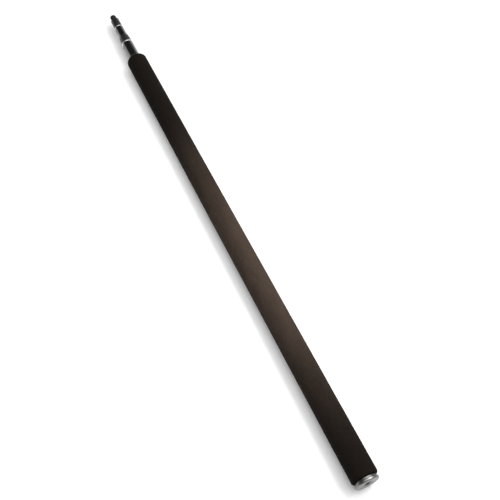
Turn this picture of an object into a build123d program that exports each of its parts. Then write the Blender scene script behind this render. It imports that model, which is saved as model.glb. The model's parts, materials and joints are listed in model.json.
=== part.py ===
from build123d import *
import os

# Telescopic boom pole with three sections, shown pushed right in.
# The pole lies along +Y with its tip at +Y, and rests on its foam grip at Z = 0.
# The origin is under the middle of the pole. All sizes are in millimetres.
# A "station" is a distance along the pole, measured from the outer face of the end cap.
# The "start" of a piece is its end nearer the cap, and its "end" is nearer the tip.

# ---------------------------------------------------------------- fits
bond_gap = 0.05              # film between bonded or pressed pieces
running_gap = 0.08           # running fit of a tube or sleeve in its guide, on the radius
felt_gap = 0.04              # felt ring to the tube that it wipes, on the radius
thread_gap = 0.05            # clearance of a screw thread, drawn at its plain diameter
taper_gap = 0.10             # cone to sleeve, on the radius
loose_gap = 0.30             # space between pieces that turn past each other
stop_gap = 0.20              # space left between two stops at full extension
edge_break = 0.20            # small chamfer on turned edges

# ---------------------------------------------------------------- foam grip
foam_wall = 4.6
foam_setback = 0.2           # from the end of the base tube to the foam
foam_base_round = 3.0
foam_top_round = 2.2

# ---------------------------------------------------------------- tubes
base_tube_radius = 11.0
base_tube_wall = 1.2
base_tube_length = 715.0
middle_tube_space = 1.0      # from the middle tube to the base tube around it
middle_tube_wall = 1.0
middle_tube_reach = 36.0     # length of middle tube that shows when pushed in
tip_tube_space = 0.8         # from the tip tube to the middle tube around it
tip_tube_wall = 0.9
tip_tube_reach = 23.0        # length of tip tube that shows when pushed in

# ---------------------------------------------------------------- end cap
cap_rim_inset = 1.8          # from the foam's side to the cap's rim
cap_rim_thickness = 3.2
cap_rim_chamfer = 0.5
cap_neck_cover = 1.0         # how far the neck stands out of the base tube
cap_neck_length = 1.8
cap_thread_length = 9.0
cap_thread_lead = 0.8
socket_radius = 3.97         # tapping size of a 3/8-16 UNC thread
socket_depth = 12.5
socket_chamfer = 0.9
insert_wall = 2.8            # leaves room for an M14 x 1.5 thread
insert_length = 12.0
seal_cord_radius = 0.7
seal_seat_gap = 0.15         # space around the sealing ring in its seat

# ---------------------------------------------------------------- guide bushes and collars
base_lip_length = 6.5
base_lip_inset = 0.3         # from the base tube's side to the lip
base_lip_round = 1.6
base_bush_depth = 25.8
middle_ring_length = 3.2
middle_collar_inset = 0.55   # from the middle tube's side to the collar
middle_collar_length = 17.3
middle_collar_taper_length = 5.5
middle_collar_taper = 0.55
middle_collar_round = 0.4
middle_bush_depth = 20.3
ring_proud = 0.12            # how far a trim ring stands out of its tube
felt_width = 3.0
felt_depth = 0.6
felt_inset = 2.2             # from the start of a collar to its felt ring

# ---------------------------------------------------------------- tip fitting
tip_ring_length = 2.3
tip_hub_wall = 2.75          # around the root of the stud
tip_hub_length = 21.7
tip_hub_chamfer = 1.6
tip_hub_depth = 20.0
tip_thread_radius = 4.7625   # 3/8-16 UNC, drawn at its major diameter
tip_thread_reach = 10.0
tip_thread_chamfer = 0.9
tip_root_radius = 4.0        # M8 root of the stud, fixed in the hub
tip_root_depth = 16.0

# ---------------------------------------------------------------- twist locks and guide sleeves
middle_stud_radius = 4.0     # M8 x 1.25
tip_stud_radius = 3.0        # M6 x 1.0
lock_plug_depth = 15.0
lock_flange_thickness = 2.5
lock_flange_gap = 0.5        # from the flange's rim to the bore around it
lock_sleeve_length = 20.0
lock_sleeve_wall = 1.1       # wall of the sleeve's fingers at their open end
lock_taper_length = 10.0
lock_throat_step = 0.9       # from the sleeve's bore to the narrow end of its taper
lock_slit_width = 2.0
lock_slit_length = 15.0
lock_cone_setback = 1.0      # from the cone's nose to the end of the taper
lock_cone_skirt = 4.0
lock_key_width = 1.4
lock_key_gap = 0.6           # from the keys to the bore around them
lock_free_length = 2.0       # thread left between the cone and the spring clip
clip_thickness = 1.0
clip_rim = 2.0               # how far the spring clip stands out of the stud
clip_groove_depth = 0.6
stud_tail = 1.2
pin_radius = 1.25
pin_setback = 8.0            # from the start of a tube to its cross pin
pin_sink = 0.2               # how far the pin's ends lie under the tube's surface
guide_setback = 32.0         # from the start of a tube to its guide sleeve
guide_length = 22.0
lower_space = 12.0           # from the end cap's insert to the middle section's stud
middle_space = 2.0           # from the middle section's plug to the tip section's stud

# ---------------------------------------------------------------- stations and bores that follow
cap_shoulder = cap_rim_thickness + cap_neck_length
base_mouth = cap_shoulder + base_tube_length
base_lip_end = base_mouth + base_lip_length
middle_mouth = base_lip_end + middle_tube_reach
collar_start = middle_mouth + middle_ring_length
collar_end = collar_start + middle_collar_length
tip_mouth = collar_end + tip_tube_reach
hub_start = tip_mouth + tip_ring_length
hub_end = hub_start + tip_hub_length
pole_end = hub_end + tip_thread_reach

foam_radius = base_tube_radius + foam_wall
base_bore = base_tube_radius - base_tube_wall
middle_tube_radius = base_bore - middle_tube_space
middle_bore = middle_tube_radius - middle_tube_wall
tip_tube_radius = middle_bore - tip_tube_space
tip_bore = tip_tube_radius - tip_tube_wall

# The lock's pieces, one behind the other, from the end of its stud to the start of its tube.
lock_length = (
    stud_tail
    + clip_thickness
    + lock_free_length
    + lock_cone_skirt
    + lock_sleeve_length
    + loose_gap
    + lock_flange_thickness
)
middle_tube_start = cap_shoulder + insert_length + lower_space + lock_length
tip_tube_start = middle_tube_start + lock_plug_depth + middle_space + lock_length
guide_reach = guide_setback + guide_length
middle_travel = base_mouth - base_bush_depth - middle_tube_start - guide_reach - stop_gap
tip_travel = middle_mouth - middle_bush_depth - tip_tube_start - guide_reach - stop_gap

# Outlines are drawn on this plane as (radius, station) and turned about its local Y.
pole = Plane(origin=(0, -pole_end / 2, foam_radius), x_dir=(1, 0, 0), z_dir=(0, 0, 1))
pole_axis = Axis(pole.origin, pole.y_dir)
# Holes and pins that cross the pole are drawn on this plane as (station, height).
across = Plane(origin=pole.origin, x_dir=pole.y_dir, z_dir=pole.x_dir)

os.makedirs("parts", exist_ok=True)


def save(part, name):
    """Labels a finished piece and writes it to its own file."""
    part.label = name
    export_step(part, f"parts/{name}.step")


def turned(points, mode=Mode.ADD):
    """A solid of revolution, from a closed outline of (radius, station) points."""
    with BuildSketch(pole) as outline:
        with BuildLine():
            Polyline(*points, close=True)
        make_face()
    revolve(outline.sketch, axis=pole_axis, mode=mode)


def ring(inner, outer, start, end, mode=Mode.ADD):
    """A plain ring about the pole's axis between two stations."""
    turned([(inner, start), (outer, start), (outer, end), (inner, end)], mode)


def section_at(station):
    """The plane square to the pole at a station, facing the tip."""
    centre = pole.origin + Vector(0, station, 0)
    return Plane(origin=centre, x_dir=pole.x_dir, z_dir=pole.y_dir)


def edges_at(builder, radius, station):
    """The round edges of a piece that have this radius at this station."""
    place = pole.origin.Y + station
    circles = builder.edges().filter_by(GeomType.CIRCLE)
    return circles.filter_by(
        lambda edge: abs(edge.radius - radius) < 1e-4 and abs(edge.arc_center.Y - place) < 1e-4
    )


def cross_hole(radius, station):
    """A round hole right across the pole at one station."""
    with BuildSketch(across) as hole:
        with Locations((station, 0)):
            Circle(radius)
    extrude(hole.sketch, amount=foam_radius, both=True, mode=Mode.SUBTRACT)


def felt_groove(bore, start):
    """The groove for a felt ring inside a guide of this bore."""
    ring(bore - running_gap, bore + felt_depth, start, start + felt_width, Mode.SUBTRACT)


def make_felt_ring(name, tube_radius, start):
    """The felt ring that wipes a tube, in its groove in the guide around that tube."""
    groove_radius = tube_radius + running_gap + felt_depth
    with BuildPart() as felt_ring:
        ring(
            tube_radius + felt_gap,
            groove_radius - bond_gap,
            start + bond_gap,
            start + felt_width - bond_gap,
        )
    save(felt_ring.part, name)


def make_sliding_tube(name, radius, wall, start, end):
    """A sliding tube, with the hole for the cross pin that holds its lock."""
    with BuildPart() as tube:
        ring(radius - wall, radius, start, end)
        cross_hole(pin_radius + bond_gap, start + pin_setback)
    save(tube.part, name)


def make_trim_ring(name, tube_radius, plug_radius, start, length):
    """The bright ring between a tube's end and the fitting that is plugged into it."""
    outer = tube_radius + ring_proud
    with BuildPart() as trim_ring:
        ring(plug_radius + bond_gap, outer, start, start + length)
        rims = edges_at(trim_ring, outer, start) + edges_at(trim_ring, outer, start + length)
        chamfer(rims, edge_break)
    save(trim_ring.part, name)


def make_inner_end(section, tube_radius, tube_bore, tube_start, bore, stud_radius):
    """The lock and the guide sleeve at the inner end of a sliding tube, in the bore around it.

    The plug is pinned into the tube and carries the threaded stud. Twisting the tube draws
    the cone along the stud into the fingers of the sleeve, which grip the bore.
    """
    flange_start = tube_start - lock_flange_thickness
    sleeve_end = flange_start - loose_gap
    sleeve_start = sleeve_end - lock_sleeve_length
    taper_end = sleeve_start + lock_taper_length
    cone_start = sleeve_start - lock_cone_skirt
    cone_end = taper_end - lock_cone_setback
    clip_end = cone_start - lock_free_length
    clip_start = clip_end - clip_thickness
    stud_start = clip_start - stud_tail
    groove_radius = stud_radius - clip_groove_depth
    plug_radius = tube_bore - bond_gap
    flange_radius = bore - lock_flange_gap
    sleeve_radius = bore - running_gap
    mouth_radius = sleeve_radius - lock_sleeve_wall
    sleeve_bore = stud_radius + loose_gap
    throat_radius = sleeve_bore + lock_throat_step
    taper_slope = (mouth_radius - throat_radius) / lock_taper_length
    skirt_radius = mouth_radius - taper_gap
    nose_radius = skirt_radius - (cone_end - sleeve_start) * taper_slope
    slot_length = 2 * foam_radius

    with BuildPart() as plug:
        turned([
            (0, stud_start),
            (stud_radius, stud_start),
            (stud_radius, clip_start),
            (groove_radius, clip_start),
            (groove_radius, clip_end),
            (stud_radius, clip_end),
            (stud_radius, flange_start),
            (flange_radius, flange_start),
            (flange_radius, tube_start),
            (plug_radius, tube_start),
            (plug_radius, tube_start + lock_plug_depth),
            (0, tube_start + lock_plug_depth),
        ])
        cross_hole(pin_radius + bond_gap, tube_start + pin_setback)
        chamfer(edges_at(plug, stud_radius, stud_start), clip_groove_depth)
    save(plug.part, f"{section}_lock_plug")

    with BuildPart() as pin:
        with BuildSketch(across) as pin_end:
            with Locations((tube_start + pin_setback, 0)):
                Circle(pin_radius)
        extrude(pin_end.sketch, amount=tube_radius - pin_sink, both=True)
    save(pin.part, f"{section}_lock_pin")

    with BuildPart() as sleeve:
        turned([
            (mouth_radius, sleeve_start),
            (sleeve_radius, sleeve_start),
            (sleeve_radius, sleeve_end),
            (sleeve_bore, sleeve_end),
            (sleeve_bore, taper_end),
            (throat_radius, taper_end),
        ])
        with BuildSketch(section_at(sleeve_start)) as slits:
            Rectangle(lock_slit_width, slot_length)
            Rectangle(slot_length, lock_slit_width)
        extrude(slits.sketch, amount=lock_slit_length, mode=Mode.SUBTRACT)
    save(sleeve.part, f"{section}_lock_sleeve")

    with BuildPart() as cone:
        turned([
            (0, cone_start),
            (skirt_radius, cone_start),
            (skirt_radius, sleeve_start),
            (nose_radius, cone_end),
            (0, cone_end),
        ])
        with BuildSketch(section_at(cone_start)) as keys:
            Rectangle(lock_key_width, 2 * (bore - lock_key_gap))
        extrude(keys.sketch, amount=cone_end - cone_start)
        ring(0, stud_radius + thread_gap, cone_start, cone_end, Mode.SUBTRACT)
    save(cone.part, f"{section}_lock_cone")

    with BuildPart() as clip:
        clip_radius = groove_radius + bond_gap
        ring(clip_radius, stud_radius + clip_rim, clip_start + bond_gap, clip_end - bond_gap)
        with BuildSketch(section_at(clip_start)) as opening:
            with Locations((0, slot_length / 2)):
                Rectangle(2 * groove_radius, slot_length)
        extrude(opening.sketch, amount=clip_thickness, mode=Mode.SUBTRACT)
    save(clip.part, f"{section}_lock_clip")

    with BuildPart() as guide:
        guide_start = tube_start + guide_setback
        ring(tube_radius + bond_gap, bore - running_gap, guide_start, guide_start + guide_length)
    save(guide.part, f"{section}_guide_sleeve")


# ================================================================ grip section
with BuildPart() as foam_grip:
    foam_start = cap_shoulder + foam_setback
    ring(base_tube_radius + bond_gap, foam_radius, foam_start, base_mouth)
    fillet(edges_at(foam_grip, foam_radius, foam_start), foam_base_round)
    fillet(edges_at(foam_grip, foam_radius, base_mouth), foam_top_round)
save(foam_grip.part, "foam_grip")

with BuildPart() as base_tube:
    ring(base_bore, base_tube_radius, cap_shoulder, base_mouth)
save(base_tube.part, "base_tube")

# The bush guides the middle tube, stops its guide sleeve, and its lip covers the tube's end.
with BuildPart() as base_guide_bush:
    bush_bore = middle_tube_radius + running_gap
    base_lip_radius = base_tube_radius - base_lip_inset
    turned([
        (bush_bore, base_mouth - base_bush_depth),
        (base_bore - bond_gap, base_mouth - base_bush_depth),
        (base_bore - bond_gap, base_mouth),
        (base_lip_radius, base_mouth),
        (base_lip_radius, base_lip_end),
        (bush_bore, base_lip_end),
    ])
    fillet(edges_at(base_guide_bush, base_lip_radius, base_lip_end), base_lip_round)
    felt_groove(bush_bore, base_mouth + felt_inset)
save(base_guide_bush.part, "base_guide_bush")
make_felt_ring("base_felt_ring", middle_tube_radius, base_mouth + felt_inset)

# ================================================================ end cap and its seat
cap_rim_radius = foam_radius - cap_rim_inset
cap_neck_radius = base_tube_radius + cap_neck_cover
cap_thread_radius = base_bore - insert_wall
cap_face = cap_shoulder - bond_gap
cap_end = cap_shoulder + cap_thread_length
seal_inner = cap_thread_radius + thread_gap
seal_seat_radius = seal_inner + 2 * seal_cord_radius + seal_seat_gap
seal_seat_end = cap_shoulder + 2 * seal_cord_radius + seal_seat_gap

with BuildPart() as end_cap:
    turned([
        (0, socket_depth),
        (socket_radius, socket_depth),
        (socket_radius, 0),
        (cap_rim_radius, 0),
        (cap_rim_radius, cap_rim_thickness),
        (cap_neck_radius, cap_rim_thickness),
        (cap_neck_radius, cap_face),
        (cap_thread_radius, cap_face),
        (cap_thread_radius, cap_end),
        (0, cap_end),
    ])
    rim_edges = edges_at(end_cap, cap_rim_radius, 0) + edges_at(
        end_cap, cap_rim_radius, cap_rim_thickness
    )
    chamfer(rim_edges, cap_rim_chamfer)
    chamfer(edges_at(end_cap, socket_radius, 0), socket_chamfer)
    chamfer(edges_at(end_cap, cap_thread_radius, cap_end), cap_thread_lead)
save(end_cap.part, "end_cap")

with BuildPart() as end_cap_seal:
    with BuildSketch(pole) as cord:
        with Locations((seal_inner + seal_cord_radius, cap_shoulder + seal_cord_radius + bond_gap)):
            Circle(seal_cord_radius)
    revolve(cord.sketch, axis=pole_axis)
save(end_cap_seal.part, "end_cap_seal")

with BuildPart() as base_end_insert:
    insert_end = cap_shoulder + insert_length
    turned([
        (seal_seat_radius, cap_shoulder),
        (base_bore - bond_gap, cap_shoulder),
        (base_bore - bond_gap, insert_end),
        (cap_thread_radius + thread_gap, insert_end),
        (cap_thread_radius + thread_gap, seal_seat_end),
        (seal_seat_radius, seal_seat_end),
    ])
save(base_end_insert.part, "base_end_insert")

# ================================================================ middle section
make_sliding_tube(
    "middle_tube", middle_tube_radius, middle_tube_wall, middle_tube_start, middle_mouth
)
make_inner_end(
    "middle", middle_tube_radius, middle_bore, middle_tube_start, base_bore, middle_stud_radius
)
collar_plug_radius = middle_bore - bond_gap
make_trim_ring(
    "middle_trim_ring", middle_tube_radius, collar_plug_radius, middle_mouth, middle_ring_length
)

# The collar guides the tip tube, stops its guide sleeve, and is held to twist the section.
with BuildPart() as middle_collar:
    collar_bore = tip_tube_radius + running_gap
    middle_collar_radius = middle_tube_radius - middle_collar_inset
    collar_nose = middle_collar_radius - middle_collar_taper
    turned([
        (collar_bore, middle_mouth - middle_bush_depth),
        (collar_plug_radius, middle_mouth - middle_bush_depth),
        (collar_plug_radius, collar_start),
        (middle_collar_radius, collar_start),
        (middle_collar_radius, collar_end - middle_collar_taper_length),
        (collar_nose, collar_end),
        (collar_bore, collar_end),
    ])
    fillet(edges_at(middle_collar, collar_nose, collar_end), middle_collar_round)
    chamfer(edges_at(middle_collar, middle_collar_radius, collar_start), edge_break)
    felt_groove(collar_bore, collar_start + felt_inset)
save(middle_collar.part, "middle_collar")
make_felt_ring("middle_felt_ring", tip_tube_radius, collar_start + felt_inset)

# ================================================================ tip section
make_sliding_tube("tip_tube", tip_tube_radius, tip_tube_wall, tip_tube_start, tip_mouth)
make_inner_end("tip", tip_tube_radius, tip_bore, tip_tube_start, middle_bore, tip_stud_radius)
hub_plug_radius = tip_bore - bond_gap
make_trim_ring("tip_trim_ring", tip_tube_radius, hub_plug_radius, tip_mouth, tip_ring_length)

with BuildPart() as tip_hub:
    hole_radius = tip_root_radius + thread_gap
    tip_hub_radius = hole_radius + tip_hub_wall
    hole_start = hub_end - tip_root_depth
    turned([
        (0, tip_mouth - tip_hub_depth),
        (hub_plug_radius, tip_mouth - tip_hub_depth),
        (hub_plug_radius, hub_start),
        (tip_hub_radius, hub_start),
        (tip_hub_radius, hub_end),
        (hole_radius, hub_end),
        (hole_radius, hole_start),
        (0, hole_start),
    ])
    chamfer(edges_at(tip_hub, tip_hub_radius, hub_end), tip_hub_chamfer)
    chamfer(edges_at(tip_hub, tip_hub_radius, hub_start), edge_break)
save(tip_hub.part, "tip_hub")

with BuildPart() as tip_stud:
    stud_start = hole_start + bond_gap
    turned([
        (0, stud_start),
        (tip_root_radius, stud_start),
        (tip_root_radius, hub_end + bond_gap),
        (tip_thread_radius, hub_end + bond_gap),
        (tip_thread_radius, pole_end),
        (0, pole_end),
    ])
    chamfer(edges_at(tip_stud, tip_root_radius, stud_start), tip_thread_chamfer)
    chamfer(edges_at(tip_stud, tip_thread_radius, pole_end), tip_thread_chamfer)
save(tip_stud.part, "tip_stud")

print(f"pushed in {pole_end:.1f} mm, full length {pole_end + middle_travel + tip_travel:.1f} mm")
print(f"travel: middle section {middle_travel:.1f} mm, tip section {tip_travel:.1f} mm")
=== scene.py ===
import json
import math

import bmesh
import bpy
from mathutils import Matrix, Vector, noise

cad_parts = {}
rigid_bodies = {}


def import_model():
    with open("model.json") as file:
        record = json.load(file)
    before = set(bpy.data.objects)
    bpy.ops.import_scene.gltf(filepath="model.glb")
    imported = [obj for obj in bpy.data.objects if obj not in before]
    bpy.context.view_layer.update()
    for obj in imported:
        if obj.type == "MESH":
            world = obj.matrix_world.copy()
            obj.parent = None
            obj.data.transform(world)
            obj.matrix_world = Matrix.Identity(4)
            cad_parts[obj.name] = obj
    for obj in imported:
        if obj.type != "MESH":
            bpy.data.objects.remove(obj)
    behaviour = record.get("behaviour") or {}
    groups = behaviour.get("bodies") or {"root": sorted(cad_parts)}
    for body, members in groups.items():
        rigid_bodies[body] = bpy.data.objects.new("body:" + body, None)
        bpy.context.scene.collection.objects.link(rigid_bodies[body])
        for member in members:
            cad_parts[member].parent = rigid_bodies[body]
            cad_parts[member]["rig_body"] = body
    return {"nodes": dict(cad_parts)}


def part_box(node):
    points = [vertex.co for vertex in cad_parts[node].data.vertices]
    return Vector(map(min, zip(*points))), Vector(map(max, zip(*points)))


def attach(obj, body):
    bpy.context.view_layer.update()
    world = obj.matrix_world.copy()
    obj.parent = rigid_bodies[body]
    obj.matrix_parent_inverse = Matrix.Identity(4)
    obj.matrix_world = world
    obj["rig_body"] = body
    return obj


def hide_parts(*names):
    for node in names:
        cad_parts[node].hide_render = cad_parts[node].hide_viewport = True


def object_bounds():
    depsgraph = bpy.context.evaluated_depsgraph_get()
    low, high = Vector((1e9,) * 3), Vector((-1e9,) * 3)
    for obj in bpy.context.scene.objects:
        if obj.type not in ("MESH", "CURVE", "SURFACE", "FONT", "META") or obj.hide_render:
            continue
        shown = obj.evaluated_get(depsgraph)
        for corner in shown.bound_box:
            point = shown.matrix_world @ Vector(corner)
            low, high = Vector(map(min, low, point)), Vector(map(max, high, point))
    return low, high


# Looks for a telescopic boom pole of three sections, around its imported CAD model.
# The pole lies along +Y with its tip at +Y. Measures here are in metres.
# "inner" is the end of a piece nearer the end cap, and "outer" the end nearer the tip.

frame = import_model()
cad_low, cad_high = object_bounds()
nodes = frame["nodes"]

MM = 0.001
AXIS_X = 0.0
AXIS_Z = (cad_low.z + cad_high.z) / 2
FULL_TURN = 2 * math.pi
RING_WIDTH = 0.02 * MM       # a CAD vertex this near a place along the pole is taken to be at it
CLOSE = 0.01 * MM            # two measures of an outline nearer than this are the same
ON_AXIS = 0.001 * MM         # a radius smaller than this is drawn as a point on the axis


# ---------------------------------------------------------------- what the frame says
def ends(node):
    """The lowest and highest place of a CAD node along the pole."""
    low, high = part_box(node)
    return low.y, high.y


def distances(node, place):
    """How far a CAD node's vertices are from the pole's axis, all of them or those at one place along it."""
    found = [
        math.hypot(vertex.co.x - AXIS_X, vertex.co.z - AXIS_Z)
        for vertex in nodes[node].data.vertices
        if place is None or abs(vertex.co.y - place) < RING_WIDTH
    ]
    if not found or max(found) == 0.0:
        raise ValueError(f"{node} has no surface at {place}")
    return found


def reach(node, place=None):
    """The largest distance of a CAD node's surface from the pole's axis, or that at one place along it."""
    return max(distances(node, place))


def bore_of(node, place=None):
    """The smallest distance of a CAD node's surface from the pole's axis, or that at one place along it."""
    return min(distances(node, place))


# ---------------------------------------------------------------- turned pieces
def softened(corners, steps=4):
    """A closed outline of (radius, place, rounding) corners, with each rounding drawn as a small arc."""
    outline = []
    count = len(corners)
    for index, (radius, place, rounding) in enumerate(corners):
        here = Vector((radius, place))
        if rounding == 0:
            outline.append(here)
            continue
        before = Vector(corners[index - 1][:2]) - here
        after = Vector(corners[(index + 1) % count][:2]) - here
        half_angle = before.angle(after) / 2
        setback = rounding / math.tan(half_angle)
        first = here + before.normalized() * setback
        last = here + after.normalized() * setback
        middle = (before.normalized() + after.normalized()).normalized()
        centre = here + middle * (rounding / math.sin(half_angle))
        start = first - centre
        sweep = start.angle_signed(last - centre)
        for step in range(steps + 1):
            turn = -sweep * step / steps
            c, s = math.cos(turn), math.sin(turn)
            outline.append(centre + Vector((start.x * c - start.y * s, start.x * s + start.y * c)))
    return outline


def divided(outline, longest, only=None):
    """The outline with its long runs cut into steps no longer than this, or only those that a test picks."""
    result = []
    count = len(outline)
    for index, point in enumerate(outline):
        after = outline[(index + 1) % count]
        result.append(point)
        if only is not None and not only(point, after):
            continue
        pieces = max(1, math.ceil((after - point).length / longest))
        for step in range(1, pieces):
            result.append(point.lerp(after, step / pieces))
    return result


SEGMENTS = 96                # round a turned piece
CREASE = 32                  # degrees between faces, above which an edge is sharp


def turned(name, outline, segments=SEGMENTS, shape=None, crease=CREASE):
    """A solid of revolution about the pole from a closed outline of (radius, place).

    shape(radius, place, angle) may return another radius for a point, for threads and flutes.
    The angle runs the way a right-hand thread turns as it advances towards the tip.
    """
    made = bmesh.new()
    rings = []
    for radius, place in outline:
        if radius < ON_AXIS:
            rings.append([made.verts.new((AXIS_X, place, AXIS_Z))])
            continue
        ring = []
        for step in range(segments):
            angle = FULL_TURN * step / segments
            r = radius if shape is None else shape(radius, place, angle)
            ring.append(made.verts.new((AXIS_X + r * math.sin(angle), place, AXIS_Z + r * math.cos(angle))))
        rings.append(ring)
    for index, ring in enumerate(rings):
        after = rings[(index + 1) % len(rings)]
        if len(ring) == 1 and len(after) == 1:
            continue
        for step in range(segments):
            following = (step + 1) % segments
            if len(ring) == 1:
                made.faces.new((ring[0], after[step], after[following]))
            elif len(after) == 1:
                made.faces.new((ring[step], after[0], ring[following]))
            else:
                made.faces.new((ring[step], after[step], after[following], ring[following]))
    bmesh.ops.recalc_face_normals(made, faces=made.faces)
    mesh = bpy.data.meshes.new(name)
    made.to_mesh(mesh)
    made.free()
    mesh.shade_smooth()
    mesh.set_sharp_from_angle(angle=math.radians(crease))
    piece = bpy.data.objects.new(name, mesh)
    bpy.context.scene.collection.objects.link(piece)
    return piece


def stand_in(piece, node, slot):
    """The piece stands for a CAD node, rides on that node's body and has the material of a slot."""
    piece.data.materials.append(materials[slot])
    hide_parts(node)
    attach(piece, nodes[node]["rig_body"])


THREAD_HEIGHT = 0.6134       # of a 60 degree thread, as a share of its pitch
CREST_FLAT = 0.125           # share of the pitch that the crest's flat takes
ROOT_FLAT = 0.25             # and the root's


def thread_depth(phase):
    """How deep a 60 degree thread is cut, from 0 at its crest to 1 at its root, at a phase of its pitch."""
    from_root = abs(phase % 1.0 - 0.5) * 2
    return min(1.0, max(0.0, (1 - CREST_FLAT - from_root) / (1 - CREST_FLAT - ROOT_FLAT)))


def eased(value):
    """A smooth step from 0 to 1."""
    value = min(1.0, max(0.0, value))
    return value * value * (3 - 2 * value)


# ---------------------------------------------------------------- materials
# A noise's scale is in features a metre along each axis, and a bump's depth is in metres.
def new_material(name, **fixed):
    """A material with a Principled shader. The fixed values are set on the shader's own sockets."""
    material = bpy.data.materials.new(name)
    material.use_nodes = True
    tree = material.node_tree
    shader = tree.nodes["Principled BSDF"]
    for socket, value in fixed.items():
        shader.inputs[socket.replace("_", " ")].default_value = value
    return material, tree, shader


def add_node(tree, kind, inputs=None, **settings):
    """A node with these settings, whose inputs are linked to a socket or set to a value."""
    made = tree.nodes.new(kind)
    for key, value in settings.items():
        setattr(made, key, value)
    for key, value in (inputs or {}).items():
        if isinstance(value, bpy.types.NodeSocket):
            tree.links.new(value, made.inputs[key])
        else:
            made.inputs[key].default_value = value
    return made


def place_on_pole(tree):
    """The place on the object, with the pole's axis at zero."""
    coordinate = add_node(tree, "ShaderNodeTexCoord")
    moved = add_node(
        tree, "ShaderNodeVectorMath", {0: coordinate.outputs["Object"], 1: (AXIS_X, 0, AXIS_Z)},
        operation="SUBTRACT",
    )
    return moved.outputs["Vector"]


def distance_from_axis(tree, place):
    """How far a place is from the pole's axis."""
    across = add_node(
        tree, "ShaderNodeVectorMath", {0: place, 1: (1, 0, 1)}, operation="MULTIPLY"
    )
    return add_node(
        tree, "ShaderNodeVectorMath", {0: across.outputs["Vector"]}, operation="LENGTH"
    ).outputs["Value"]


def turning_marks(tree, place, fineness, detail=3.0):
    """Noise that runs round the pole, and in rings on a face that is square to it, as a lathe leaves it."""
    parts = add_node(tree, "ShaderNodeSeparateXYZ", {0: place})
    together = add_node(
        tree, "ShaderNodeCombineXYZ", {0: distance_from_axis(tree, place), 1: parts.outputs["Y"]}
    )
    return noise_at(tree, together.outputs["Vector"], (fineness, fineness, 1), detail)


def noise_at(tree, place, scale, detail=2.0, roughness=0.5):
    """Noise at a place, stretched by a scale along each axis. Its value is from 0 to 1."""
    stretched = add_node(
        tree, "ShaderNodeVectorMath", {0: place, 1: scale}, operation="MULTIPLY"
    )
    return add_node(
        tree,
        "ShaderNodeTexNoise",
        {"Vector": stretched.outputs["Vector"], "Scale": 1.0, "Detail": detail, "Roughness": roughness},
    ).outputs["Fac"]


def ramp(tree, value, low, high, start=0.0, end=1.0):
    """A value moved from the range start to end to the range low to high, and held there."""
    return add_node(
        tree,
        "ShaderNodeMapRange",
        {"Value": value, "From Min": start, "From Max": end, "To Min": low, "To Max": high},
    ).outputs["Result"]


def faded(tree, value, start, end, first, last):
    """A smooth change from a first value to a last as a value goes from start to end."""
    return add_node(
        tree,
        "ShaderNodeMapRange",
        {"Value": value, "From Min": start, "From Max": end, "To Min": first, "To Max": last},
        interpolation_type="SMOOTHSTEP",
    ).outputs["Result"]


MIX_COLOUR_A, MIX_COLOUR_B, MIX_RESULT = 6, 7, 2     # the colour sockets of a Mix node


def mixed(tree, factor, first, second):
    """Two fixed colours mixed by a factor."""
    made = add_node(tree, "ShaderNodeMix", data_type="RGBA")
    tree.links.new(factor, made.inputs["Factor"])
    made.inputs[MIX_COLOUR_A].default_value = (*first, 1)
    made.inputs[MIX_COLOUR_B].default_value = (*second, 1)
    return made.outputs[MIX_RESULT]


def combined(tree, operation, first, second):
    """Two values put together by a math node."""
    return add_node(tree, "ShaderNodeMath", {0: first, 1: second}, operation=operation).outputs[0]


def bumped(tree, shader, height, depth, before=None):
    """A bump of this depth in metres on the shader, on top of the one before."""
    bump = add_node(tree, "ShaderNodeBump", {"Height": height, "Strength": 1.0, "Distance": depth})
    if before is not None:
        tree.links.new(before, bump.inputs["Normal"])
    tree.links.new(bump.outputs["Normal"], shader.inputs["Normal"])
    return bump.outputs["Normal"]


def set_colour(tree, shader, socket):
    """The shader takes its base colour from a socket."""
    tree.links.new(socket, shader.inputs["Base Color"])


def set_roughness(tree, shader, socket):
    """The shader takes its roughness from a socket."""
    tree.links.new(socket, shader.inputs["Roughness"])


FOAM_BLACK = (0.0102, 0.0078, 0.0066)
# The colour of the pool of light painted on the foam's middle.
FOAM_PAINTED_LIGHT = (0.0568, 0.0409, 0.0314)
PAINTED_LIGHT_MIDDLE = 0.41        # middle of the painted pool of light, as a share of the foam's length
PAINTED_LIGHT_REACH = 0.82         # how far that fades out, as a share of half its length
CELLS_A_METRE = 1900.0
PORES_A_METRE = 780.0
PORE_WANDER = 0.0007         # metres that a pore's place is bent by noise


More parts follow.
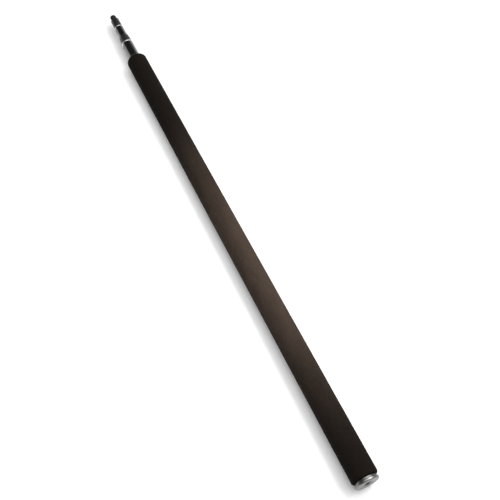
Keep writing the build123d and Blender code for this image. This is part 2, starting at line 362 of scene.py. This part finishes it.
def foam_material():
    """Black foam with small pores, and a pool of light painted into its colour that makes it paler and
    browner round its middle.
    """
    material, tree, shader = new_material("foam", Specular_IOR_Level=0.06, IOR=1.4)
    place = place_on_pole(tree)
    parts = add_node(tree, "ShaderNodeSeparateXYZ", {0: place})
    low, high = ends("foam_grip")
    middle, half = low + PAINTED_LIGHT_MIDDLE * (high - low), (high - low) / 2
    away = combined(tree, "ABSOLUTE", combined(tree, "SUBTRACT", parts.outputs["Y"], middle), 0.0)
    # Painted light: the colour is paler and browner round the middle, a pool of light painted on the foam
    # that fades out towards both ends.
    painted_light = faded(tree, away, 0.0, PAINTED_LIGHT_REACH * half, 1.0, 0.0)
    patches = ramp(tree, noise_at(tree, place, (38, 14, 38), 4.0, 0.6), 0.72, 1.28, 0.3, 0.7)
    wear_and_painted_light = combined(tree, "MULTIPLY", painted_light, patches)
    colour = mixed(tree, wear_and_painted_light, FOAM_BLACK, FOAM_PAINTED_LIGHT)
    wander = add_node(tree, "ShaderNodeTexNoise", {"Vector": place, "Scale": 1100.0, "Detail": 2.0})
    uneven = add_node(
        tree,
        "ShaderNodeVectorMath",
        {0: wander.outputs["Color"], 1: (PORE_WANDER, PORE_WANDER, PORE_WANDER), 2: place},
        operation="MULTIPLY_ADD",
    ).outputs["Vector"]
    cells = add_node(tree, "ShaderNodeTexVoronoi", {"Vector": uneven, "Scale": CELLS_A_METRE}, feature="F1")
    pores = add_node(tree, "ShaderNodeTexVoronoi", {"Vector": uneven, "Scale": PORES_A_METRE}, feature="F1")
    pits = ramp(tree, pores.outputs["Distance"], 0.0, 1.0, 0.05, 0.34)
    grain = ramp(tree, cells.outputs["Distance"], 0.0, 1.0, 0.0, 0.75)
    mottle = ramp(tree, noise_at(tree, place, (520, 520, 520), 5.0, 0.7), 0.86, 1.14, 0.3, 0.7)
    # The pits darken the colour towards their centres: painted shade in the pores, on top of the foam's own
    # grain.
    texture = combined(tree, "MULTIPLY", ramp(tree, pits, 0.6, 1.03), ramp(tree, grain, 0.8, 1.18))
    shade = combined(tree, "MULTIPLY", texture, mottle)
    shaded = add_node(tree, "ShaderNodeVectorMath", {0: colour}, operation="SCALE")
    tree.links.new(shade, shaded.inputs["Scale"])
    set_colour(tree, shader, shaded.outputs["Vector"])
    set_roughness(tree, shader, ramp(tree, noise_at(tree, place, (400, 400, 400)), 0.86, 0.98))
    first = bumped(tree, shader, grain, 0.00016)
    second = bumped(tree, shader, pits, 0.00022, first)
    bumped(tree, shader, noise_at(tree, place, (160, 90, 160), 3.0), 0.00018, second)
    return material


def tube_material():
    """Glossy black anodised tube with fine drawing lines and faint wear along it."""
    material, tree, shader = new_material("black_tube", Specular_IOR_Level=0.5, IOR=1.64)
    place = place_on_pole(tree)
    lines = noise_at(tree, place, (2600, 9, 2600), 3.0, 0.6)
    wear = noise_at(tree, place, (420, 26, 420), 4.0, 0.65)
    wear_and_painted_light = ramp(tree, wear, 0.0, 1.0, 0.35, 0.75)
    set_colour(tree, shader, mixed(tree, wear_and_painted_light, (0.0045, 0.0045, 0.005), (0.0085, 0.0083, 0.0085)))
    roughness = combined(tree, "ADD", ramp(tree, lines, 0.07, 0.13), ramp(tree, wear, -0.01, 0.06, 0.3, 0.8))
    set_roughness(tree, shader, roughness)
    bumped(tree, shader, lines, 0.000002)
    return material


def collar_material():
    """Satin black anodised fitting with the marks of its turning, and blotches of a paler black."""
    material, tree, shader = new_material("black_collar", Specular_IOR_Level=0.5, IOR=1.6)
    place = place_on_pole(tree)
    marks = turning_marks(tree, place, 5200)
    blotches = noise_at(tree, place, (300, 300, 300), 3.0)
    set_colour(tree, shader, mixed(tree, blotches, (0.007, 0.007, 0.0075), (0.013, 0.0128, 0.0128)))
    roughness = combined(tree, "ADD", ramp(tree, marks, 0.26, 0.38), ramp(tree, blotches, -0.03, 0.05))
    set_roughness(tree, shader, roughness)
    first = bumped(tree, shader, marks, 0.000012)
    bumped(tree, shader, noise_at(tree, place, (3000, 3000, 3000)), 0.000006, first)
    return material


def metal_material(name, dark, light, roughness, fineness, depth, shine=0.0):
    """Bare turned metal: rings from the tool, small scratches and a little staining."""
    material, tree, shader = new_material(name, Metallic=1.0, Anisotropic=shine)
    place = place_on_pole(tree)
    marks = turning_marks(tree, place, fineness)
    stains = noise_at(tree, place, (260, 260, 260), 4.0, 0.6)
    scratches = noise_at(tree, place, (1800, 240, 1500), 2.0)
    tone = combined(tree, "ADD", ramp(tree, marks, 0.0, 0.55), ramp(tree, stains, 0.0, 0.45, 0.3, 0.7))
    set_colour(tree, shader, mixed(tree, tone, dark, light))
    rough = combined(
        tree, "ADD", ramp(tree, marks, roughness - 0.06, roughness + 0.06), ramp(tree, scratches, -0.03, 0.06)
    )
    set_roughness(tree, shader, rough)
    first = bumped(tree, shader, marks, depth)
    bumped(tree, shader, scratches, depth / 3, first)
    return material


def plastic_material(name, dark, light, roughness, grain, depth, level=0.5):
    """Moulded plastic or rubber with a fine spark-eroded grain."""
    material, tree, shader = new_material(name, Specular_IOR_Level=level, IOR=1.5)
    place = place_on_pole(tree)
    texture = noise_at(tree, place, (grain, grain, grain), 3.0, 0.6)
    flow = noise_at(tree, place, (180, 60, 180), 3.0)
    set_colour(tree, shader, mixed(tree, ramp(tree, flow, 0.0, 1.0, 0.3, 0.7), dark, light))
    set_roughness(tree, shader, ramp(tree, texture, roughness - 0.08, roughness + 0.08))
    bumped(tree, shader, texture, depth)
    return material


def felt_material():
    """Dark felt: matted fibres with a soft nap."""
    material, tree, shader = new_material("felt", Sheen_Weight=0.3, Sheen_Roughness=0.5, IOR=1.3)
    place = place_on_pole(tree)
    fibres = noise_at(tree, place, (2600, 900, 2600), 5.0, 0.7)
    tufts = add_node(tree, "ShaderNodeTexVoronoi", {"Vector": place, "Scale": 1400.0}, feature="F1")
    set_colour(tree, shader, mixed(tree, fibres, (0.012, 0.012, 0.013), (0.05, 0.049, 0.047)))
    set_roughness(tree, shader, ramp(tree, fibres, 0.85, 1.0))
    first = bumped(tree, shader, fibres, 0.0001)
    bumped(tree, shader, tufts.outputs["Distance"], 0.00008, first)
    return material


def black_steel_material():
    """Black oxide steel whose thread crests have rubbed bright."""
    material, tree, shader = new_material("black_steel", Metallic=1.0)
    place = place_on_pole(tree)
    marks = turning_marks(tree, place, 3800)
    speckle = noise_at(tree, place, (1500, 1500, 1500), 4.0, 0.6)
    crest = reach("tip_stud")
    high = ramp(tree, distance_from_axis(tree, place), 0.0, 1.0, crest - 0.16 * MM, crest)
    rubbed = combined(tree, "MULTIPLY", high, ramp(tree, speckle, 0.1, 0.55, 0.35, 0.65))
    set_colour(tree, shader, mixed(tree, rubbed, (0.035, 0.035, 0.038), (0.42, 0.41, 0.4)))
    set_roughness(tree, shader, ramp(tree, speckle, 0.32, 0.5))
    first = bumped(tree, shader, marks, 0.000008)
    bumped(tree, shader, speckle, 0.000012, first)
    return material


def floor_material():
    """Plain pale studio paper."""
    material, tree, shader = new_material(
        "floor", Specular_IOR_Level=0.1, Emission_Color=(1, 1, 1, 1), Emission_Strength=0.15
    )
    coordinate = add_node(tree, "ShaderNodeTexCoord").outputs["Object"]
    fibre = noise_at(tree, coordinate, (60, 60, 60), 3.0)
    set_colour(tree, shader, mixed(tree, fibre, (0.9, 0.9, 0.9), (0.93, 0.93, 0.93)))
    set_roughness(tree, shader, ramp(tree, fibre, 0.9, 1.0))
    return material


materials = {
    "foam": foam_material(),
    "black_tube": tube_material(),
    "black_collar": collar_material(),
    "black_plastic": plastic_material(
        "black_plastic", (0.012, 0.012, 0.012), (0.02, 0.02, 0.02), roughness=0.45, grain=2600, depth=0.00002
    ),
    "bright_ring": metal_material(
        "bright_ring", (0.74, 0.74, 0.75), (0.9, 0.9, 0.9), roughness=0.34, fineness=4200, depth=0.000004
    ),
    "silver_aluminium": metal_material(
        "silver_aluminium", (0.11, 0.108, 0.106), (0.29, 0.284, 0.278),
        roughness=0.36, fineness=4600, depth=0.000016, shine=0.3,
    ),
    "inner_aluminium": metal_material(
        "inner_aluminium", (0.46, 0.46, 0.47), (0.66, 0.66, 0.66), roughness=0.4, fineness=3000, depth=0.00002
    ),
    "black_steel": black_steel_material(),
    "steel": metal_material(
        "steel", (0.4, 0.4, 0.41), (0.6, 0.6, 0.6), roughness=0.32, fineness=5200, depth=0.00001
    ),
    "brass": metal_material(
        "brass", (0.56, 0.38, 0.14), (0.82, 0.63, 0.3), roughness=0.3, fineness=4200, depth=0.000015
    ),
    "nylon": plastic_material(
        "nylon", (0.62, 0.6, 0.54), (0.74, 0.72, 0.66), roughness=0.5, grain=2200, depth=0.00002
    ),
    "felt": felt_material(),
    "seal_rubber": plastic_material(
        "seal_rubber", (0.01, 0.01, 0.01), (0.018, 0.018, 0.018),
        roughness=0.55, grain=3200, depth=0.00001, level=0.4,
    ),
}

# ---------------------------------------------------------------- pieces
FOAM_BASE_ROUND = 3.0 * MM
FOAM_TOP_ROUND = 2.2 * MM
FOAM_STEP = 2.4 * MM         # between its rings of points
FOAM_SLACK = 0.16            # mm that its side lies in, at most, in broad places
FOAM_UNEVEN = 0.05           # and in small ones


def foam_shape(radius, place, angle):
    """Foam is never quite even: it is a little slack here and there, always inside its CAD solid."""
    if radius < foam_radius * 0.8:
        return radius
    across = Vector((math.sin(angle) * 0.6, place * 14, math.cos(angle) * 0.6))
    slack = 0.5 + 0.5 * noise.noise(across)
    fine = 0.5 + 0.5 * noise.noise(Vector((math.sin(angle) * 5, place * 230, math.cos(angle) * 5)))
    share = (radius / foam_radius) ** 4
    return radius - share * (FOAM_SLACK * slack + FOAM_UNEVEN * fine) * MM


foam_low, foam_high = ends("foam_grip")
foam_radius = reach("foam_grip")
foam_bore = bore_of("foam_grip")
foam_outline = softened(
    [
        (foam_bore, foam_low, 0),
        (foam_radius, foam_low, FOAM_BASE_ROUND),
        (foam_radius, foam_high, FOAM_TOP_ROUND),
        (foam_bore, foam_high, 0),
    ],
    steps=8,
)
foam_outline = divided(foam_outline, FOAM_STEP, lambda a, b: min(a.x, b.x) > foam_bore + 0.1 * MM)
foam = turned("foam_grip_cover", foam_outline, 128, foam_shape, 50)
stand_in(foam, "foam_grip", "foam")


def grip_tube():
    """The aluminium tube inside the foam, whose ends are just seen."""
    low, high = ends("base_tube")
    outer, bore = reach("base_tube"), bore_of("base_tube")
    small = 0.15 * MM
    corners = [(bore, low, small), (outer, low, small), (outer, high, small), (bore, high, small)]
    return turned("grip_tube", softened(corners, 2))


stand_in(grip_tube(), "base_tube", "black_tube")

FILM = 0.05 * MM             # between pieces that are bonded or pressed together
LIP_NECK = 1.3 * MM          # from the tube's mouth to where the lip is widest
LIP_NECK_DEPTH = 0.35 * MM   # how much narrower the lip is before that


def guide_lip():
    """The bush in the grip's mouth: a rolled lip outside, and a plain sleeve with a felt groove inside."""
    low, high = ends("base_guide_bush")
    mouth = ends("base_tube")[1]
    lip = reach("base_guide_bush")
    sleeve = reach("base_guide_bush", low)
    bore = bore_of("base_guide_bush")
    groove = reach("base_felt_ring") + FILM
    felt_low, felt_high = ends("base_felt_ring")
    bead = mouth + LIP_NECK
    corners = [
        (bore, low, 0.3 * MM),
        (sleeve, low, 0.3 * MM),
        (sleeve, mouth, 0),
        (lip - LIP_NECK_DEPTH, mouth, 0.1 * MM),
        (lip - LIP_NECK_DEPTH, bead - 0.3 * MM, 0.1 * MM),
        (lip, bead, 0.2 * MM),
        (lip, high, 1.6 * MM),
        (bore, high, 0.18 * MM),
        (bore, felt_high, 0),
        (groove, felt_high, 0),
        (groove, felt_low, 0),
        (bore, felt_low, 0),
    ]
    return turned("grip_guide_lip", softened(corners, 6))


stand_in(guide_lip(), "base_guide_bush", "black_plastic")


def sliding_tube(name, node_name, pin_node):
    """A drawn tube with broken edges and the cross hole for its pin."""
    low, high = ends(node_name)
    outer, bore = reach(node_name), bore_of(node_name, high)
    edge = 0.18 * MM
    corners = [(bore, low, edge), (outer, low, edge), (outer, high, edge), (bore, high, edge)]
    tube = turned(name, softened(corners, 3))
    pin_low, pin_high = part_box(pin_node)
    hole_radius = (pin_high.y - pin_low.y) / 2 + FILM
    cutter_mesh = bpy.data.meshes.new("pin_cutter")
    cutter_shape = bmesh.new()
    bmesh.ops.create_cone(
        cutter_shape,
        cap_ends=True,
        segments=32,
        radius1=hole_radius,
        radius2=hole_radius,
        depth=4 * outer,
    )
    bmesh.ops.rotate(cutter_shape, verts=cutter_shape.verts, matrix=Matrix.Rotation(math.pi / 2, 3, "Y"))
    bmesh.ops.translate(cutter_shape, verts=cutter_shape.verts, vec=(pin_low + pin_high) / 2)
    cutter_shape.to_mesh(cutter_mesh)
    cutter_shape.free()
    cutter = bpy.data.objects.new("pin_cutter", cutter_mesh)
    bpy.context.scene.collection.objects.link(cutter)
    drill = tube.modifiers.new("pin_hole", "BOOLEAN")
    drill.object = cutter
    drill.operation = "DIFFERENCE"
    drill.solver = "EXACT"
    depsgraph = bpy.context.evaluated_depsgraph_get()
    drilled = bpy.data.meshes.new_from_object(tube.evaluated_get(depsgraph))
    tube.modifiers.clear()
    tube.data = drilled
    bpy.data.objects.remove(cutter)
    drilled.shade_smooth()
    drilled.set_sharp_from_angle(angle=math.radians(CREASE))
    return tube


SECTIONS = ("middle", "tip")
for section in SECTIONS:
    tube = sliding_tube(f"{section}_section_tube", f"{section}_tube", f"{section}_lock_pin")
    stand_in(tube, f"{section}_tube", "black_tube")


def bright_band(name, node_name):
    """A bright ring between a tube and its fitting, slightly crowned, with rounded edges."""
    low, high = ends(node_name)
    outer, bore = reach(node_name), bore_of(node_name)
    crown = 0.1 * MM
    shoulder = 0.22 * (high - low)
    corners = [
        (bore, low, 0),
        (outer - 0.3 * MM, low, 0.1 * MM),
        (outer - crown, low + 0.4 * shoulder, 0.3 * MM),
        (outer, low + 1.7 * shoulder, 1.0 * MM),
        (outer, high - 1.7 * shoulder, 1.0 * MM),
        (outer - crown, high - 0.4 * shoulder, 0.3 * MM),
        (outer - 0.3 * MM, high, 0.1 * MM),
        (bore, high, 0),
    ]
    return turned(name, softened(corners, 4))


for section in SECTIONS:
    band = bright_band(f"{section}_bright_band", f"{section}_trim_ring")
    stand_in(band, f"{section}_trim_ring", "bright_ring")

COLLAR_TAPER_LENGTH = 5.5 * MM
COLLAR_TAPER = 0.55 * MM     # how much the radius loses along the taper
COLLAR_FLUTES = 40
COLLAR_FLUTE_DEPTH = 0.14 * MM
COLLAR_FLUTE_FADE = 0.8 * MM # length over which a flute's end rises to the surface
COLLAR_FLUTE_STEP = 0.45 * MM
COLLAR_PLAIN_START = 1.4 * MM    # left plain before the flutes
COLLAR_PLAIN_END = 0.9 * MM      # and between them and the taper


def collar_piece():
    """The collar that is held to twist the middle section: shallow flutes, then a taper to the bore."""
    low, high = ends("middle_collar")
    start = ends("middle_trim_ring")[1]
    outer = reach("middle_collar")
    nose = outer - COLLAR_TAPER
    plug = reach("middle_collar", low)
    bore = bore_of("middle_collar")
    felt_low, felt_high = ends("middle_felt_ring")
    groove = reach("middle_felt_ring") + FILM
    taper_start = high - COLLAR_TAPER_LENGTH
    flute_low, flute_high = start + COLLAR_PLAIN_START, taper_start - COLLAR_PLAIN_END

    def fluted(radius, place, angle):
        if radius < outer - CLOSE or not flute_low < place < flute_high:
            return radius
        run = min(place - flute_low, flute_high - place) / COLLAR_FLUTE_FADE
        wave = 0.5 - 0.5 * math.cos(angle * COLLAR_FLUTES)
        return radius - COLLAR_FLUTE_DEPTH * eased(run) * wave ** 3

    corners = [
        (bore, low, 0.2 * MM),
        (plug, low, 0.3 * MM),
        (plug, start, 0),
        (outer, start, 0.2 * MM),
        (outer, taper_start, 1.2 * MM),
        (nose, high, 0.4 * MM),
        (bore, high, 0.25 * MM),
        (bore, felt_high, 0),
        (groove, felt_high, 0),
        (groove, felt_low, 0),
        (bore, felt_low, 0),
    ]
    outline = divided(
        softened(corners, 4), COLLAR_FLUTE_STEP,
        lambda a, b: min(a.x, b.x) > outer - CLOSE and a.y > start and b.y < taper_start,
    )
    return turned("middle_twist_collar", outline, COLLAR_FLUTES * 8, fluted)


stand_in(collar_piece(), "middle_collar", "black_collar")


HUB_CHAMFER = 1.6 * MM
HUB_GROOVE_PLACE = 2.6 * MM  # from the trim ring
HUB_GROOVE_DEPTH = 0.2 * MM


def hub_piece():
    """The tip fitting: a plain barrel with a fine groove, a broad chamfer and a blind hole for the stud."""
    low, high = ends("tip_hub")
    start = ends("tip_trim_ring")[1]
    outer = reach("tip_hub")
    plug = reach("tip_hub", low)
    hole = bore_of("tip_hub", high)
    hole_low = ends("tip_stud")[0] - FILM
    groove = start + HUB_GROOVE_PLACE
    corners = [
        (0, low, 0),
        (plug, low, 0.5 * MM),
        (plug, start, 0),
        (outer, start, 0.2 * MM),
        (outer, groove, 0.05 * MM),
        (outer - HUB_GROOVE_DEPTH, groove + 0.2 * MM, 0.04 * MM),
        (outer - HUB_GROOVE_DEPTH, groove + 0.55 * MM, 0.04 * MM),
        (outer, groove + 0.75 * MM, 0.05 * MM),
        (outer, high - HUB_CHAMFER, 0.3 * MM),
        (outer - HUB_CHAMFER, high, 0.25 * MM),
        (hole, high, 0),
        (hole, hole_low, 0),
        (0, hole_low, 0),
    ]
    return turned("tip_end_fitting", softened(corners, 4))


stand_in(hub_piece(), "tip_hub", "black_collar")

STUD_PITCH = 25.4 * MM / 16
STUD_THREAD_DEPTH = THREAD_HEIGHT * STUD_PITCH
STUD_POINT = 0.9 * MM        # length of the chamfer at its end


def stud_piece():
    """The microphone mount's stud: a 3/8-16 thread with a chamfered end, on a plain root inside."""
    low, high = ends("tip_stud")
    crest = reach("tip_stud")
    thread_low = ends("tip_hub")[1] + FILM
    root = bore_of("tip_stud", thread_low)
    inner_end = reach("tip_stud", low)

    def threaded(radius, place, angle):
        if place < thread_low + CLOSE or radius < 0.5 * crest:
            return radius
        phase = (place - thread_low) / STUD_PITCH - angle / FULL_TURN
        return min(radius, crest - STUD_THREAD_DEPTH * thread_depth(phase))

    corners = [
        (0, low, 0),
        (inner_end, low, 0),
        (root, low + root - inner_end, 0),
        (root, thread_low, 0),
        (crest, thread_low, 0),
        (crest, high - STUD_POINT, 0),
        (crest - STUD_POINT - 0.15 * MM, high, 0),
        (0, high, 0),
    ]
    outline = divided(
        [Vector(corner[:2]) for corner in corners], STUD_PITCH / 16,
        lambda a, b: min(a.y, b.y) >= thread_low - 0.001 * MM and min(a.x, b.x) > 0.6 * crest,
    )
    return turned("tip_mount_stud", outline, 72, threaded, 40)


stand_in(stud_piece(), "tip_stud", "black_steel")

SPIGOT_PITCH = 1.5 * MM
SPIGOT_THREAD_DEPTH = THREAD_HEIGHT * SPIGOT_PITCH
SPIGOT_LEAD = 0.8 * MM       # chamfer at the spigot's end
CAP_RIM_THICKNESS = 3.2 * MM
SOCKET_DEPTH = 12.5 * MM
SOCKET_CHAMFER = 0.9 * MM
FACE_RECESS = 0.3 * MM       # how deep the face lies round the socket
RELIEF_DEPTH = 0.55 * MM     # of the groove between the neck and the spigot's thread
RELIEF_LENGTH = 2.0 * MM     # from the neck to the thread
SOCKET_THREAD_SHARE = 0.9
INSERT_THREAD_SHARE = 0.9


def cap_piece():
    """The end cap: a rim with a turned face, a neck, a threaded spigot, and a 3/8-16 socket in the face."""
    low, high = ends("end_cap")
    shoulder = ends("base_tube")[0] - FILM
    rim, neck = reach("end_cap"), reach("end_cap", shoulder)
    spigot = reach("end_cap", high - SPIGOT_LEAD)
    socket_end = low + SOCKET_DEPTH
    socket = bore_of("end_cap", socket_end)
    rim_high = low + CAP_RIM_THICKNESS
    face = low + FACE_RECESS
    socket_low = low + FACE_RECESS + SOCKET_CHAMFER
    spigot_low = shoulder + RELIEF_LENGTH

    def threaded(radius, place, angle):
        turn = angle / FULL_TURN
        if abs(radius - spigot) < SPIGOT_LEAD and place > spigot_low:
            depth = SPIGOT_THREAD_DEPTH * thread_depth((place - spigot_low) / SPIGOT_PITCH - turn)
            return min(radius, spigot - depth * eased((place - spigot_low) / SPIGOT_PITCH))
        if abs(radius - socket) < CLOSE and socket_low < place < socket_end - STUD_PITCH:
            run = (socket_end - STUD_PITCH - place) / STUD_PITCH
            depth = STUD_THREAD_DEPTH * thread_depth((place - low) / STUD_PITCH - turn)
            return radius + SOCKET_THREAD_SHARE * depth * eased(run)
        return radius

    corners = [
        (0, socket_end, 0),
        (socket, socket_end, 0),
        (socket, socket_low, 0),
        (socket + SOCKET_CHAMFER, face, 0.08 * MM),
        (socket + SOCKET_CHAMFER + 0.9 * MM, face, 0.1 * MM),
        (socket + SOCKET_CHAMFER + 1.3 * MM, low, 0.15 * MM),
        (rim - 0.6 * MM, low, 0.3 * MM),
        (rim, low + 0.6 * MM, 0.3 * MM),
        (rim, rim_high - 0.6 * MM, 0.3 * MM),
        (rim - 0.6 * MM, rim_high, 0.2 * MM),
        (neck, rim_high, 0.2 * MM),
        (neck, shoulder, 0.1 * MM),
        (spigot, shoulder, 0),
        (spigot - RELIEF_DEPTH, shoulder + 0.2 * MM, 0),
        (spigot - RELIEF_DEPTH, spigot_low - 0.4 * MM, 0),
        (spigot, spigot_low, 0),
        (spigot, high - SPIGOT_LEAD, 0),
        (spigot - SPIGOT_LEAD, high, 0),
        (0, high, 0),
    ]

    def cut_finely(a, b):
        in_socket = abs(a.x - socket) + abs(b.x - socket) < CLOSE
        on_spigot = (
            min(a.y, b.y) > spigot_low - CLOSE
            and max(a.y, b.y) <= high
            and min(a.x, b.x) > spigot - SPIGOT_LEAD - CLOSE
        )
        return in_socket or on_spigot

    outline = divided(softened(corners), STUD_PITCH / 16, cut_finely)
    return turned("end_cap_turned", outline, 120, threaded, 40)


stand_in(cap_piece(), "end_cap", "silver_aluminium")


SEAL_STEPS = 32              # round its cord
SEAL_FLASH = 0.03 * MM       # how far the mould's seam stands out of it


def seal_piece():
    """The sealing ring: a round rubber cord with the fine flash line of its mould."""
    low, high = ends("end_cap_seal")
    inner, outer = bore_of("end_cap_seal"), reach("end_cap_seal")
    cord = (high - low) / 2
    centre_radius, centre_place = (inner + outer) / 2, (low + high) / 2
    outline = []
    for step in range(SEAL_STEPS):
        angle = FULL_TURN * step / SEAL_STEPS
        on_seam = step in (SEAL_STEPS // 4, 3 * SEAL_STEPS // 4)
        radius = cord - SEAL_FLASH + (SEAL_FLASH if on_seam else 0.0)
        outward, along = radius * math.sin(angle), radius * math.cos(angle)
        outline.append(Vector((centre_radius + outward, centre_place + along)))
    return turned("end_cap_sealing_ring", outline, crease=60)


stand_in(seal_piece(), "end_cap_seal", "seal_rubber")


def insert_piece():
    """The insert in the grip's lower end: a seat for the sealing ring, then an M14 x 1.5 thread."""
    low, high = ends("base_end_insert")
    outer = reach("base_end_insert")
    bore = bore_of("base_end_insert")
    seat = bore_of("base_end_insert", low)
    seat_high = ends("end_cap_seal")[1] + 0.1 * MM

    def threaded(radius, place, angle):
        if abs(radius - bore) > CLOSE:
            return radius
        run = min(place - seat_high, high - place) / (0.5 * SPIGOT_PITCH)
        depth = SPIGOT_THREAD_DEPTH * thread_depth((place - low) / SPIGOT_PITCH - angle / FULL_TURN)
        return radius + INSERT_THREAD_SHARE * depth * eased(run)

    corners = [
        (seat, low, 0.15 * MM),
        (outer, low, 0.2 * MM),
        (outer, high, 0.2 * MM),
        (bore, high, 0),
        (bore, seat_high, 0),
        (seat, seat_high, 0),
    ]
    outline = divided(
        softened(corners), SPIGOT_PITCH / 14, lambda a, b: abs(a.x - bore) + abs(b.x - bore) < CLOSE
    )
    return turned("grip_end_insert", outline, shape=threaded, crease=40)


stand_in(insert_piece(), "base_end_insert", "inner_aluminium")

# Every CAD node that no piece stands for takes the material of its slot.
node_slots = {
    "base_felt_ring": "felt",
    "middle_felt_ring": "felt",
}
for section in SECTIONS:
    node_slots[f"{section}_guide_sleeve"] = "nylon"
    node_slots[f"{section}_lock_sleeve"] = "nylon"
    node_slots[f"{section}_lock_plug"] = "inner_aluminium"
    node_slots[f"{section}_lock_pin"] = "steel"
    node_slots[f"{section}_lock_clip"] = "steel"
    node_slots[f"{section}_lock_cone"] = "brass"
for name, slot in node_slots.items():
    for place in nodes[name].material_slots:
        place.material = materials[slot]

# ---------------------------------------------------------------- floor, lights, camera
FLOOR_HALF = 2.4             # metres, half the floor's side
floor_mesh = bpy.data.meshes.new("floor")
made = bmesh.new()
bmesh.ops.create_grid(made, x_segments=8, y_segments=8, size=FLOOR_HALF)
made.to_mesh(floor_mesh)
made.free()
floor = bpy.data.objects.new("floor", floor_mesh)
floor.location = (0, 0, cad_low.z)
floor_mesh.materials.append(floor_material())
bpy.context.scene.collection.objects.link(floor)


def light(name, kind, energy, place, target, **settings):
    """A lamp at a place that faces a target."""
    data = bpy.data.lights.new(name, kind)
    data.energy = energy
    for key, value in settings.items():
        setattr(data, key, value)
    lamp = bpy.data.objects.new(name, data)
    lamp.location = place
    lamp.rotation_euler = (Vector(target) - Vector(place)).to_track_quat("-Z", "Y").to_euler()
    bpy.context.scene.collection.objects.link(lamp)


# A large soft box overhead, an even light from all over the ceiling, and a pool of light on the middle.
light(
    "key", "AREA", energy=62, place=(0.6, -0.1, 2.2), target=(0.1, 0, 0),
    shape="RECTANGLE", size=3.4, size_y=3.8,
)
light("even", "SUN", energy=0.9, place=(0, 0, 0), target=(-0.25, 0, -1), angle=math.radians(80))
light(
    "pool", "SPOT", energy=90, place=(1.1, -0.1, 2.0), target=(0, -0.12, 0),
    spot_size=math.radians(34), spot_blend=1.0, shadow_soft_size=0.35,
)

# The room is bright beyond the tip, apart from a dark patch higher up there, and dim elsewhere.
# The camera itself sees a plain pale wall.
DARK_PATCH = (-0.17, 0.77, 0.62)     # the direction of its middle
DARK_EDGE, DARK_CORE = 0.5, 0.92     # cosines from there at which it begins and is full
TIP_EDGE, TIP_CORE = 0.35, 0.7       # and from the tip's direction, for the bright side
ROOM_DIM = 0.05
ROOM_BRIGHT = 0.6
WALL_BRIGHTNESS = 0.9

world = bpy.data.worlds.new("studio")
world.use_nodes = True
sky = world.node_tree
background = sky.nodes["Background"]
facing = add_node(sky, "ShaderNodeTexCoord").outputs["Generated"]
towards_dark = add_node(
    sky, "ShaderNodeVectorMath", {0: facing, 1: DARK_PATCH}, operation="DOT_PRODUCT"
).outputs["Value"]
towards_tip = add_node(sky, "ShaderNodeSeparateXYZ", {0: facing}).outputs["Y"]
away_from_dark = faded(sky, towards_dark, DARK_EDGE, DARK_CORE, 1.0, 0.0)
beyond = faded(sky, towards_tip, TIP_EDGE, TIP_CORE, 0.0, ROOM_BRIGHT)
room = combined(sky, "ADD", combined(sky, "MULTIPLY", away_from_dark, beyond), ROOM_DIM)
camera_ray = add_node(sky, "ShaderNodeLightPath").outputs["Is Camera Ray"]
wall = combined(sky, "MULTIPLY", camera_ray, WALL_BRIGHTNESS)
sky.links.new(combined(sky, "MAXIMUM", room, wall), background.inputs["Strength"])
background.inputs["Color"].default_value = (1, 1, 1, 1)
bpy.context.scene.world = world

CAMERA_AZIMUTH = math.radians(-24.61)
CAMERA_ELEVATION = math.radians(55.40)
CAMERA_FROM_BASE = Vector((-0.19815, -0.13925, 0.72936))
base_centre = Vector((AXIS_X, cad_low.y, AXIS_Z))
camera_data = bpy.data.cameras.new("camera")
camera_data.lens = 50
camera_data.sensor_width = 36
camera = bpy.data.objects.new("camera", camera_data)
camera.location = base_centre + CAMERA_FROM_BASE
camera.rotation_euler = (math.pi / 2 - CAMERA_ELEVATION, 0, CAMERA_AZIMUTH)
bpy.context.scene.collection.objects.link(camera)
bpy.context.scene.camera = camera
bpy.context.scene.view_settings.view_transform = "Standard"
